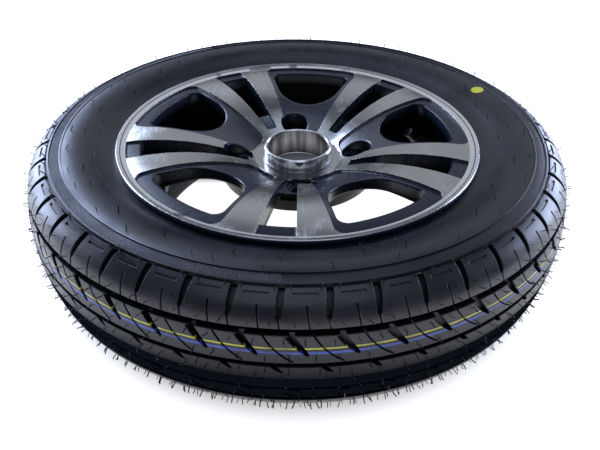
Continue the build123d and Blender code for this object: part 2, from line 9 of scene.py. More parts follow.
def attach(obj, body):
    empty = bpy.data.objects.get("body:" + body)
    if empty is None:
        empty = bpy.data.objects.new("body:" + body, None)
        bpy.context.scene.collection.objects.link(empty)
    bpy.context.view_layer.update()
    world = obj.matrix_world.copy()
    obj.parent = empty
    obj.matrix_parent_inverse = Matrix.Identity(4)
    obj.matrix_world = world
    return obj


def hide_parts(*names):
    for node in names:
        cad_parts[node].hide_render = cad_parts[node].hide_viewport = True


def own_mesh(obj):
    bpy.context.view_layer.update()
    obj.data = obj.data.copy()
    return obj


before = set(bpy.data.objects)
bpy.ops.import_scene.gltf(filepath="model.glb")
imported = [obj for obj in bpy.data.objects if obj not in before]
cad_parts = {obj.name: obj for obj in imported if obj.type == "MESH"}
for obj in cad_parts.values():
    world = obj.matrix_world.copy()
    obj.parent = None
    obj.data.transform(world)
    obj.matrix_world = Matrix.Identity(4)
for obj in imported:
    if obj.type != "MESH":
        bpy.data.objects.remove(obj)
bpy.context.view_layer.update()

# A small alloy wheel with its tyre, lying face up. Lengths are in millimetres until MM makes them metres.
MM = 0.001

# Tyre section, as in the solid: outside radius, shoulder, sidewall and clinch
TYRE_R = 249.0
SHOULDER = (244.2, 36.0)
SIDE_TOP = (223.3, 56.0)
SIDE_FOOT = (185.6, 50.5)
CLINCH = (173.5, 43.7)
FLANGE_CURVE = (161.3, 46.1)    # centre of the flange's roll
FLANGE_CURVE_R = 8.15
BEAD_HEEL = (152.15, 37.95)
BEAD_TOE = (150.88, 23.6)
BEAD_BACK = (164.9, 30.1)
LINER_FOOT = (185.6, 44.0)
LINER_SIDE = (204.5, 50.2)
LINER_TOP = (223.3, 47.6)
LINER_SHOULDER = (230.7, 29.5)
LINER_R = 235.5

# Tread: one pitch of blocks, repeated round the tyre
PITCHES = 46
PITCH_DEG = 360 / PITCHES
PITCH_START = -92.6             # direction of one lateral groove, in degrees
PITCH_COLUMNS = 8
ROW = 3.0                       # spacing of the mesh's rows along the section
TREAD_R = 245.0                 # the tread lies outside this radius
DEGREE = radians(1) * TREAD_R   # one degree along the tread
EDGE = 0.45                     # soft edge of the blocks
EDGE_DROP = 0.8                 # how far that edge sinks, as a share of its width
DEEP = 0.9                      # cuts deeper than this have a soft edge
OPPOSITE_SHIFT = 2.9            # degrees from the upper shoulder's pattern to the lower one's
SMOOTH_ANGLE = 32               # sharper edges of the tyre stay sharp
WELD = 0.02                     # distance within which neighbouring pitches are joined
SERRATED = (27, 46)             # pitches with a serrated band on the sidewall

# Paint on the tyre
YELLOW_STRIPE = (84.5, 1.2)     # place along the section and width
BLUE_STRIPE = (88.2, 1.8)
DOT_PLACE = (187.5, 77.7, 56.6)  # yellow balance dot on the sidewall
DOT_R = 6.4
RAGGED = 0.7                    # how far the stripes' edges wander

# Face of the wheel, as in the solid
BORE_R = 29.0
HUB_FLAT = (41.3, 20.5)
FACE_MID_SOLID = (84.0, 31.8)
FACE_MID = (84.0, 38.0)         # the photograph shows a fuller crown than the solid has
FACE_SKIN = (8.5, 3.0)          # depth below the face where the fuller crown begins, and where it is whole
DISC_SKIN = (32.0, 22.0)        # the same outside the stud pockets, where the disc's back rises too
DISC_START = (72.0, 82.0)       # radii between which one gives way to the other
SLOPE_STEP = 0.2                # half the span over which the crown's slope is measured
FACE_EDGE = (160.0, 45.5)
LIP = (167.8, 48.1)
LIP_GROOVE_SHADE = (164.6, 0.9)         # painted shade of a fine groove round the lip, place and width
TURNED_SKIN = 0.55              # depth of the turned skin that the paint mask allows for
RING_R = 32.4                   # outside of the raised hub ring
SCUFF_TURNS = (12, 74, 131)     # directions of the scuffs, in degrees
RINGS_APART = 1.1               # spacing of the lathe's rings
SMALL_GRAIN = (0.8, 0.02)       # width and height of the small parts' grain

FLOOR_Z = -58.0
FLOOR_REACH = 4.0               # metres from the wheel to the floor's edges


def linear(code):
    """Linear colour of an sRGB hex code."""
    parts = [int(code[i:i + 2], 16) / 255 for i in (1, 3, 5)]
    return tuple(c / 12.92 if c <= 0.04045 else ((c + 0.055) / 1.055) ** 2.4 for c in parts) + (1.0,)


def add_node(tree, kind, inputs=(), **settings):
    """Adds a node with its settings, fills or links its inputs by number or name, and gives its outputs."""
    node = tree.nodes.new(kind)
    for name, value in settings.items():
        setattr(node, name, value)
    for name, value in inputs.items() if isinstance(inputs, dict) else enumerate(inputs):
        for source in value if isinstance(value, list) else [value]:
            if isinstance(source, bpy.types.NodeSocket):
                tree.links.new(source, node.inputs[name])
            else:
                node.inputs[name].default_value = source
    return node.outputs


def new_material(name):
    """An empty node material, its tree and the object's own coordinates."""
    material = bpy.data.materials.new(name)
    material.use_nodes = True
    tree = material.node_tree
    tree.nodes.clear()
    return material, tree, add_node(tree, "ShaderNodeTexCoord")["Object"]


def radius_and_height(tree, place):
    """Distance from the wheel's axis and height, both in millimetres."""
    parts = add_node(tree, "ShaderNodeSeparateXYZ", (place,))
    flat = add_node(tree, "ShaderNodeCombineXYZ", (parts[0], parts[1]))
    length = add_node(tree, "ShaderNodeVectorMath", (flat[0],), operation="LENGTH")["Value"]
    radius = add_node(tree, "ShaderNodeMath", (length, 1 / MM), operation="MULTIPLY")[0]
    height = add_node(tree, "ShaderNodeMath", (parts[2], 1 / MM), operation="MULTIPLY")[0]
    return radius, height


def mesh_object(name, points, faces, smooth_angle=None):
    """A mesh at the origin, from points in metres."""
    mesh = bpy.data.meshes.new(name)
    mesh.from_pydata(points, [], faces)
    if smooth_angle is not None:
        mesh.shade_smooth()
        mesh.set_sharp_from_angle(angle=radians(smooth_angle))
    piece = bpy.data.objects.new(name, mesh)
    bpy.context.scene.collection.objects.link(piece)
    return piece


def baked(piece, name):
    """The piece's modifiers turned into a plain mesh, on a new object at the origin."""
    evaluated = piece.evaluated_get(bpy.context.evaluated_depsgraph_get())
    mesh = bpy.data.meshes.new_from_object(evaluated)
    mesh.name = name
    done = bpy.data.objects.new(name, mesh)
    bpy.context.scene.collection.objects.link(done)
    bpy.data.objects.remove(piece)
    return done


# Arcs of the section

def tangent_arc(start, end, direction):
    """Points about 1 mm apart on an arc that leaves start along direction, and its direction at the end."""
    start, end, direction = Vector(start), Vector(end), Vector(direction).normalized()
    across = Vector((-direction.y, direction.x))
    chord = end - start
    bend = 2 * chord.dot(across) / chord.length_squared
    turn = 2 * atan2(chord.dot(across), chord.dot(direction))
    count = max(2, ceil(abs(turn / bend)))
    points = []
    for i in range(count + 1):
        angle = turn * i / count
        points.append(start + direction * (sin(angle) / bend) + across * ((1 - cos(angle)) / bend))
    return points, Matrix.Rotation(turn, 2) @ direction


def outer_section():
    """The tyre's outside from one sidewall's foot to the other's, with the distance along it."""
    crown, out = tangent_arc((TYRE_R, 0), SHOULDER, (0, 1))
    shoulder, out = tangent_arc(SHOULDER, SIDE_TOP, out)
    side, out = tangent_arc(SIDE_TOP, SIDE_FOOT, out)
    half = crown + shoulder[1:] + side[1:]
    points = half[::-1] + [Vector((p.x, -p.y)) for p in half[1:]]
    along = [0.0]
    for a, b in zip(points, points[1:]):
        along.append(along[-1] + (b - a).length)
    return points, along


SECTION, ALONG = outer_section()
SECTION_LENGTH = ALONG[-1]


def section_point(s):
    """Place on the section and its outward normal at a distance along it."""
    s = min(max(s, 0.0), SECTION_LENGTH)
    low, high = 0, len(ALONG) - 2
    while low < high:
        i = (low + high + 1) // 2
        if ALONG[i] <= s:
            low = i
        else:
            high = i - 1
    a, b = SECTION[low], SECTION[low + 1]
    t = (s - ALONG[low]) / (ALONG[low + 1] - ALONG[low])
    before = SECTION[max(low - 1, 0)]
    after = SECTION[min(low + 2, len(SECTION) - 1)]
    along = ((b - before).normalized().lerp((after - a).normalized(), t)).normalized()
    return a.lerp(b, t), Vector((-along.y, along.x))


def ring_point(radius, height, degrees):
    """A point round the wheel's axis, in metres."""
    angle = radians(degrees)
    return Vector((radius * cos(angle), radius * sin(angle), height)) * MM


def tyre_point(degrees, s, depth):
    place, normal = section_point(s)
    place = place - normal * depth
    return ring_point(place.x, place.y, degrees)


# One pitch of the tread

def band(start, end, depth):
    """A groove, or a ridge if depth is negative, right round the tyre."""
    left, right = -2 * PITCH_DEG, 3 * PITCH_DEG
    return [(left, start), (right, start), (right, end), (left, end)], depth


def cut(line, widths, depth):
    """A cut along a line of (degrees, distance) points with a width in millimetres at each of them."""
    points = [Vector((a * DEGREE, s)) for a, s in line]
    left, right = [], []
    for i, p in enumerate(points):
        ahead = points[min(i + 1, len(points) - 1)] - points[max(i - 1, 0)]
        across = Vector((-ahead.y, ahead.x)).normalized() * (widths[i] / 2)
        left.append(p + across)
        right.append(p - across)
    outline = left + right[::-1]
    return [(p.x / DEGREE, p.y) for p in outline], depth


def opposite(shape):
    """The same shape on the other half of the tread, turned half round."""
    outline, depth = shape
    return [(OPPOSITE_SHIFT - a, SECTION_LENGTH - s) for a, s in outline], depth


def doubled_area(outline):
    """Twice the outline's area, positive if it runs anticlockwise."""
    return sum(a * t - b * s for (a, s), (b, t) in zip(outline, outline[1:] + outline[:1]))


MAIN_GROOVES = [band(69.6, 74.5, 6.5), band(97.4, 100.8, 6.5), band(123.6, 125.6, 6.0)]
LOWER_GROOVE = band(SECTION_LENGTH - 74.5, SECTION_LENGTH - 69.6, 6.5)
SIDE_LINES = [band(28.2, 29.7, -0.7), band(29.7, 38.0, 0.25), band(38.0, 39.6, -0.9), band(40.2, 41.6, 1.3)]

SHOULDER_GROOVE = (
    [(-0.5, 41.0), (0.75, 41.0), (0.6, 48.0), (0.35, 56.0), (0.1, 61.5), (-0.15, 63.2), (-0.45, 63.2),
     (-0.65, 61.5), (-0.6, 52.0)],
    4.2,
)
SHOULDER_SIPE = cut([(-0.35, 62.8), (-0.2, 65.5), (-0.02, 69.8)], [0.9, 0.9, 0.9], 3.5)
BLOCK_SIPE = cut([(4.15, 53.8), (4.25, 59.0), (4.4, 64.0), (4.6, 69.8)], [0.9, 0.9, 0.9, 0.9], 4.0)
BLOCK_DASH = ([(1.9, 45.7), (5.9, 45.7), (5.9, 47.5), (1.9, 47.5)], 1.0)
RIB_NOTCH = cut(
    [(1.5, 74.3), (2.0, 78.0), (2.8, 82.5), (3.7, 87.0), (4.4, 90.3)], [6.2, 5.4, 4.6, 3.6, 1.6], 5.0
)
RIB_SIPE = cut(
    [(5.2, 74.3), (5.7, 78.0), (6.4, 82.5), (7.4, 87.5), (8.7, 92.5), (9.9, 96.0)],
    [1.0, 1.0, 1.0, 1.0, 0.9, 0.7], 4.0,
)
CENTRE_NOTCH = (
    [(-1.6, 100.7), (-0.45, 100.7), (0.05, 103.5), (0.45, 106.4), (-0.3, 105.3), (-0.9, 103.6)],
    4.0,
)
CENTRE_LINE = band(113.3, 113.9, 0.5)
LOW_NOTCH = cut([(2.2, 125.4), (2.9, 127.2), (3.4, 129.0)], [3.0, 2.2, 1.0], 3.5)
LOW_CUT = cut([(0.6, 131.0), (1.6, 134.0), (2.9, 137.3)], [1.6, 2.2, 2.6], 4.5)

PITCH_SHAPES = [
    SHOULDER_GROOVE, SHOULDER_SIPE, BLOCK_SIPE, BLOCK_DASH, RIB_NOTCH, RIB_SIPE, CENTRE_NOTCH,
    LOW_NOTCH, LOW_CUT,
    opposite(SHOULDER_GROOVE), opposite(SHOULDER_SIPE), opposite(BLOCK_SIPE), opposite(BLOCK_DASH),
]
RINGS = MAIN_GROOVES + [LOWER_GROOVE, CENTRE_LINE] + SIDE_LINES + [
    ([(a, SECTION_LENGTH - s) for a, s in outline], depth) for outline, depth in SIDE_LINES
]


def serrations(count=24):
    """Fine ribs across the band between the two sidewall lines."""
    step = PITCH_DEG / count
    return [
        ([(i * step, 30.3), ((i + 0.5) * step, 30.3), ((i + 0.5) * step, 37.4), (i * step, 37.4)], -0.3)
        for i in range(count)
    ]


def grown(outline, amount):
    """The outline moved outwards, for the soft edge beside a cut."""
    points = [Vector((a * DEGREE, s)) for a, s in outline]
    result = []
    for before, here, after in zip(points[-1:] + points[:-1], points, points[1:] + points[:1]):
        first = (here - before).normalized()
        second = (after - here).normalized()
        out = Vector((first.y + second.y, -first.x - second.x))
        result.append(here + out.normalized() * amount / max(0.5, out.length / 2))
    return result


def pitch_mesh(name, serrated):
    """One pitch of the tyre's whole section: blocks with cut walls and soft edges, sidewalls and liner."""
    shapes = list(RINGS)
    for outline, depth in PITCH_SHAPES:
        for turn in (-2, -1, 0, 1, 2):
            shapes.append(([(a + turn * PITCH_DEG, s) for a, s in outline], depth))
    if serrated:
        shapes += serrations()
    shapes = [(outline if doubled_area(outline) > 0 else outline[::-1], depth) for outline, depth in shapes]
    points, edges, faces = [], [], []

    def line(a, b):
        edges.append((len(points), len(points) + 1))
        points.extend((Vector(a), Vector(b)))

    width = PITCH_DEG * DEGREE
    for i in range(PITCH_COLUMNS + 1):
        line((width * i / PITCH_COLUMNS, 0), (width * i / PITCH_COLUMNS, SECTION_LENGTH))
    rows = ceil(SECTION_LENGTH / ROW)
    for i in range(rows + 1):
        line((0, SECTION_LENGTH * i / rows), (width, SECTION_LENGTH * i / rows))
    for outline, depth in shapes:
        faces.append(list(range(len(points), len(points) + len(outline))))
        points.extend(Vector((a * DEGREE, s)) for a, s in outline)
        if depth > DEEP:
            soft = grown(outline, EDGE)
            for a, b in zip(soft, soft[1:] + soft[:1]):
                line(a, b)
    flat, _, triangles, _, _, owners = delaunay_2d_cdt(points, edges, faces, 0, 1e-4, True)

    tolerance = 1e-3
    kept, depths = [], []
    for triangle, owner in zip(triangles, owners):
        centre = sum((flat[i] for i in triangle), Vector((0, 0))) / 3
        if not (0 < centre.x < width and 0 < centre.y < SECTION_LENGTH):
            continue
        deepest = [shapes[i][1] for i in owner if i < len(shapes)]
        cuts = [d for d in deepest if d > 0]
        kept.append(triangle)
        depths.append(max(cuts) if cuts and max(cuts) > DEEP else sum(deepest))
    deepest_at = {}
    for triangle, depth in zip(kept, depths):
        for i in triangle:
            deepest_at[i] = max(deepest_at.get(i, depth), depth)

    made, corners, sunk = {}, [], []

    def corner(i, depth):
        if depth <= DEEP and deepest_at[i] > DEEP:
            depth += EDGE * EDGE_DROP
        key = (i, round(depth, 4))
        if key not in made:
            made[key] = len(corners)
            corners.append(tyre_point(flat[i].x / DEGREE, flat[i].y, depth))
            sunk.append(depth)
        return made[key]

    polygons, beside = [], {}
    for triangle, depth in zip(kept, depths):
        polygons.append([corner(i, depth) for i in reversed(triangle)])
        for a, b in zip(triangle, triangle[1:] + triangle[:1]):
            beside[(a, b)] = depth
    for (a, b), depth in beside.items():
        other = beside.get((b, a))
        if other is None or a > b:
            continue
        wall = [corner(b, depth), corner(b, other), corner(a, other), corner(a, depth)]
        wall = [p for i, p in enumerate(wall) if p != wall[i - 1]]
        if len(wall) > 2:
            polygons.append(wall)

    inside = liner_section()
    ends = [{}, {}]
    for i, point in enumerate(flat):
        column = round(point.x / width * PITCH_COLUMNS)
        if abs(point.x - width * column / PITCH_COLUMNS) < tolerance:
            if abs(point.y) < tolerance and (i, 0.0) in made:
                ends[0][column] = made[(i, 0.0)]
            if abs(point.y - SECTION_LENGTH) < tolerance and (i, 0.0) in made:
                ends[1][column] = made[(i, 0.0)]
    grid = []
    for column in range(PITCH_COLUMNS + 1):
        strip = [ends[0][column]]
        for p in inside:
            strip.append(len(corners))
            corners.append(ring_point(p.x, p.y, PITCH_DEG * column / PITCH_COLUMNS))
        strip.append(ends[1][column])
        grid.append(strip)
    for left, right in zip(grid, grid[1:]):
        for i in range(len(left) - 1):
            polygons.append([left[i], left[i + 1], right[i + 1], right[i]])
    pitch = mesh_object(name, corners, polygons, smooth_angle=SMOOTH_ANGLE)
    depth = pitch.data.attributes.new("cut_depth", "FLOAT", "POINT")
    for i, value in enumerate(sunk):
        depth.data[i].value = max(value, 0.0)
    return pitch


def liner_section():
    """The rest of the section, from one sidewall's foot round the bead and the liner to the other foot."""
    half = [Vector(CLINCH)]
    for i in range(6):
        angle = radians(-20 - 14 * i)
        half.append(Vector((
            FLANGE_CURVE[0] + FLANGE_CURVE_R * cos(angle), FLANGE_CURVE[1] + FLANGE_CURVE_R * sin(angle)
        )))
    half += [Vector(p) for p in (BEAD_HEEL, BEAD_TOE, BEAD_BACK)]
    half += [Vector(p) for p in (LINER_FOOT, LINER_SIDE, LINER_TOP, LINER_SHOULDER)]
    lower = [Vector((p.x, -p.y)) for p in reversed(half)]
    return half + [Vector((LINER_R, 0))] + lower


def tyre_tree():
    """Sets copies of the pitch round the axis, plain or serrated, and welds them into one tyre."""
    tree = bpy.data.node_groups.new("tyre_round", "GeometryNodeTree")
    face = tree.interface
    face.new_socket("Geometry", in_out="OUTPUT", socket_type="NodeSocketGeometry")
    for name, kind in (
        ("Geometry", "NodeSocketGeometry"), ("Serrated pitch", "NodeSocketObject"),
        ("Pitches", "NodeSocketInt"), ("First serrated", "NodeSocketInt"),
        ("Last serrated", "NodeSocketInt"), ("Start", "NodeSocketFloat"), ("Rubber", "NodeSocketMaterial"),
    ):
        face.new_socket(name, in_out="INPUT", socket_type=kind)
    given = add_node(tree, "NodeGroupInput")
    points = add_node(tree, "GeometryNodeMeshLine", {"Count": given["Pitches"], "Offset": (0, 0, 0)})[0]
    index = add_node(tree, "GeometryNodeInputIndex")[0]
    step = add_node(tree, "ShaderNodeMath", (2 * pi, given["Pitches"]), operation="DIVIDE")[0]
    turn = add_node(tree, "ShaderNodeMath", (index, step, given["Start"]), operation="MULTIPLY_ADD")[0]
    rotation = add_node(tree, "ShaderNodeCombineXYZ", {2: turn})[0]
    after = add_node(tree, "FunctionNodeCompare", {2: index, 3: given["First serrated"]},
                     data_type="INT", operation="GREATER_EQUAL")[0]
    before = add_node(tree, "FunctionNodeCompare", {2: index, 3: given["Last serrated"]},
                      data_type="INT", operation="LESS_THAN")[0]
    chosen = add_node(tree, "FunctionNodeBooleanMath", {0: after, 1: before}, operation="AND")[0]
    others = add_node(tree, "FunctionNodeBooleanMath", {0: chosen}, operation="NOT")[0]
    ribbed = add_node(tree, "GeometryNodeObjectInfo", {0: given["Serrated pitch"]})["Geometry"]
    plain_set = add_node(tree, "GeometryNodeInstanceOnPoints", {
        "Points": points, "Selection": others, "Instance": given["Geometry"], "Rotation": rotation})
    ribbed_set = add_node(tree, "GeometryNodeInstanceOnPoints", {
        "Points": points, "Selection": chosen, "Instance": ribbed, "Rotation": rotation})
    both = add_node(tree, "GeometryNodeJoinGeometry", {0: [plain_set[0], ribbed_set[0]]})
    real = add_node(tree, "GeometryNodeRealizeInstances", {0: both[0]})[0]
    whole = add_node(tree, "GeometryNodeMergeByDistance", {"Geometry": real, "Distance": WELD * MM})[0]
    painted = add_node(tree, "GeometryNodeSetMaterial", {"Geometry": whole, "Material": given["Rubber"]})
    add_node(tree, "NodeGroupOutput", {0: painted[0]})
    return tree


def with_tree(piece, tree, values):
    """Puts a node tree on a piece and sets its named inputs by their identifiers."""
    modifier = piece.modifiers.new(tree.name, "NODES")
    modifier.node_group = tree
    for item in tree.interface.items_tree:
        if item.in_out == "INPUT" and item.name in values:
            modifier[item.identifier] = values[item.name]


def make_tyre(rubber):
    plain = pitch_mesh("tyre_pitch", serrated=False)
    ribbed = pitch_mesh("tyre_pitch_serrated", serrated=True)
    with_tree(plain, tyre_tree(), {
        "Serrated pitch": ribbed, "Pitches": PITCHES, "First serrated": SERRATED[0],
        "Last serrated": SERRATED[1], "Start": radians(PITCH_START), "Rubber": rubber,
    })
    tyre = baked(plain, "tyre_moulded")
    bpy.data.objects.remove(ribbed)
    tyre.data.set_sharp_from_angle(angle=radians(SMOOTH_ANGLE))
    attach(tyre, "wheel")
    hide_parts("tyre")


# Vent spews: the fine rubber hairs that a mould's vents leave

def spew_tree():
    """A row of bent hairs round the tyre, with random places, leans and lengths."""
    tree = bpy.data.node_groups.new("vent_spews", "GeometryNodeTree")
    face = tree.interface
    face.new_socket("Geometry", in_out="OUTPUT", socket_type="NodeSocketGeometry")
    for name, kind in (
        ("Geometry", "NodeSocketGeometry"), ("Count", "NodeSocketInt"), ("Radius", "NodeSocketFloat"),
        ("Height", "NodeSocketFloat"), ("Lean", "NodeSocketFloat"), ("Start", "NodeSocketFloat"),
        ("Shuffle", "NodeSocketFloat"), ("Shortest", "NodeSocketFloat"), ("Longest", "NodeSocketFloat"),
        ("Scatter", "NodeSocketFloat"), ("Seed", "NodeSocketInt"), ("Rubber", "NodeSocketMaterial"),
    ):
        face.new_socket(name, in_out="INPUT", socket_type=kind)
    given = add_node(tree, "NodeGroupInput")
    index = add_node(tree, "GeometryNodeInputIndex")[0]
    seeds = [add_node(tree, "ShaderNodeMath", (given["Seed"], i), operation="ADD")[0] for i in range(4)]
    shift = add_node(tree, "FunctionNodeRandomValue", {
        2: -0.5, 3: 0.5, "Seed": seeds[0]}, data_type="FLOAT")[1]
    place = add_node(tree, "ShaderNodeMath", (shift, given["Shuffle"], index), operation="MULTIPLY_ADD")[0]
    step = add_node(tree, "ShaderNodeMath", (2 * pi, given["Count"]), operation="DIVIDE")[0]
    angle = add_node(tree, "ShaderNodeMath", (place, step, given["Start"]), operation="MULTIPLY_ADD")[0]
    cosine = add_node(tree, "ShaderNodeMath", (angle,), operation="COSINE")[0]
    sine = add_node(tree, "ShaderNodeMath", (angle,), operation="SINE")[0]
    x = add_node(tree, "ShaderNodeMath", (cosine, given["Radius"]), operation="MULTIPLY")[0]
    y = add_node(tree, "ShaderNodeMath", (sine, given["Radius"]), operation="MULTIPLY")[0]
    position = add_node(tree, "ShaderNodeCombineXYZ", (x, y, given["Height"]))[0]
    outwards = add_node(tree, "ShaderNodeMath", (given["Lean"],), operation="SINE")[0]
    x = add_node(tree, "ShaderNodeMath", (cosine, outwards), operation="MULTIPLY")[0]
    y = add_node(tree, "ShaderNodeMath", (sine, outwards), operation="MULTIPLY")[0]
    z = add_node(tree, "ShaderNodeMath", (given["Lean"],), operation="COSINE")[0]
    direction = add_node(tree, "ShaderNodeCombineXYZ", (x, y, z))[0]
    stray = add_node(tree, "FunctionNodeRandomValue", {
        0: (-1, -1, -1), 1: (1, 1, 1), "Seed": seeds[1]}, data_type="FLOAT_VECTOR")[0]
    stray = add_node(tree, "ShaderNodeVectorMath", {
        0: stray, "Scale": given["Scatter"]}, operation="SCALE")[0]
    direction = add_node(tree, "ShaderNodeVectorMath", {0: direction, 1: stray}, operation="ADD")[0]
    upright = add_node(tree, "FunctionNodeAlignRotationToVector", {"Vector": direction}, axis="Z")[0]
    spin = add_node(tree, "FunctionNodeRandomValue", {
        2: 0.0, 3: 2 * pi, "Seed": seeds[2]}, data_type="FLOAT")[1]
    twist = add_node(tree, "FunctionNodeAxisAngleToRotation", {"Axis": (0, 0, 1), "Angle": spin})[0]
    rotation = add_node(tree, "FunctionNodeRotateRotation", (upright, twist), rotation_space="LOCAL")[0]
    length = add_node(tree, "FunctionNodeRandomValue", {
        2: given["Shortest"], 3: given["Longest"], "Seed": seeds[3]}, data_type="FLOAT")[1]
    bend = add_node(tree, "GeometryNodeCurveQuadraticBezier", {
        "Resolution": 3, "Start": (0, 0, -0.1), "Middle": (0, 0, 0.7), "End": (0.22, 0, 1)})[0]
    ring = add_node(tree, "GeometryNodeCurvePrimitiveCircle", {"Resolution": 4, "Radius": 0.1})[0]
    hair = add_node(tree, "GeometryNodeCurveToMesh", {0: bend, 1: ring, "Fill Caps": True})[0]
    points = add_node(tree, "GeometryNodeMeshLine", {"Count": given["Count"], "Offset": (0, 0, 0)})[0]
    points = add_node(tree, "GeometryNodeSetPosition", {"Geometry": points, "Position": position})[0]
    hairs = add_node(tree, "GeometryNodeInstanceOnPoints", {
        "Points": points, "Instance": hair, "Rotation": rotation, "Scale": length})[0]
    real = add_node(tree, "GeometryNodeRealizeInstances", {0: hairs})[0]
    painted = add_node(tree, "GeometryNodeSetMaterial", {"Geometry": real, "Material": given["Rubber"]})
    add_node(tree, "NodeGroupOutput", {0: painted[0]})
    return tree


# Each row: distance along the section, hairs round the tyre, start in degrees from a groove, shuffle,
# shortest and longest hair, scatter
SPEW_ROWS = (
    (42.4, 46, -1.2, 0.1, 3.5, 5.5, 0.35),
    (42.4, 46, 1.7, 0.1, 3.5, 5.5, 0.35),
    (58.0, 46, -1.6, 0.2, 1.5, 3.5, 0.4),
    (59.0, 46, 1.1, 0.2, 1.5, 3.5, 0.4),
    (66.5, 92, 2.4, 0.3, 2.0, 4.5, 0.4),
    (79.0, 92, 4.2, 0.3, 2.5, 5.0, 0.4),
    (93.0, 92, 5.5, 0.3, 2.5, 5.0, 0.4),
    (104.0, 92, 2.0, 0.3, 2.5, 5.0, 0.4),
    (110.0, 92, 0.0, 0.3, 2.5, 5.0, 0.4),
    (119.0, 92, -2.9, 0.3, 2.5, 5.0, 0.4),
    (129.0, 92, 5.0, 0.3, 2.5, 5.0, 0.4),
    (145.0, 138, 2.0, 0.4, 3.0, 5.0, 0.3),
    (151.0, 138, 1.0, 0.4, 3.0, 5.0, 0.3),
    (156.0, 138, 0.0, 0.4, 3.0, 5.0, 0.3),
    (24.0, 34, 0.0, 0.8, 2.5, 4.5, 0.5),
    (12.0, 26, 3.0, 0.8, 3.0, 5.5, 0.5),
    (1.5, 30, 1.0, 0.8, 2.5, 5.0, 0.5),
)
FIRST_SEED = 11
SEEDS_A_ROW = 5


def make_spews(rubber):
    tree = spew_tree()
    together = bmesh.new()
    for i, (s, count, start, shuffle, shortest, longest, scatter) in enumerate(SPEW_ROWS):
        place, normal = section_point(s)
        row = mesh_object(f"spew_row_{i}", [], [])
        with_tree(row, tree, {
            "Count": count, "Radius": place.x * MM, "Height": place.y * MM,
            "Lean": atan2(normal.x, normal.y), "Start": radians(PITCH_START + start), "Shuffle": shuffle,
            "Shortest": shortest * MM, "Longest": longest * MM, "Scatter": scatter,
            "Seed": FIRST_SEED + SEEDS_A_ROW * i, "Rubber": rubber,
        })
        done = baked(row, f"spew_row_{i}")
        together.from_mesh(done.data)
        bpy.data.objects.remove(done)
    spews = mesh_object("vent_spews", [], [])
    together.to_mesh(spews.data)
    together.free()
    spews.data.materials.append(rubber)
    spews.data.shade_smooth()
    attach(spews, "wheel")


# Materials

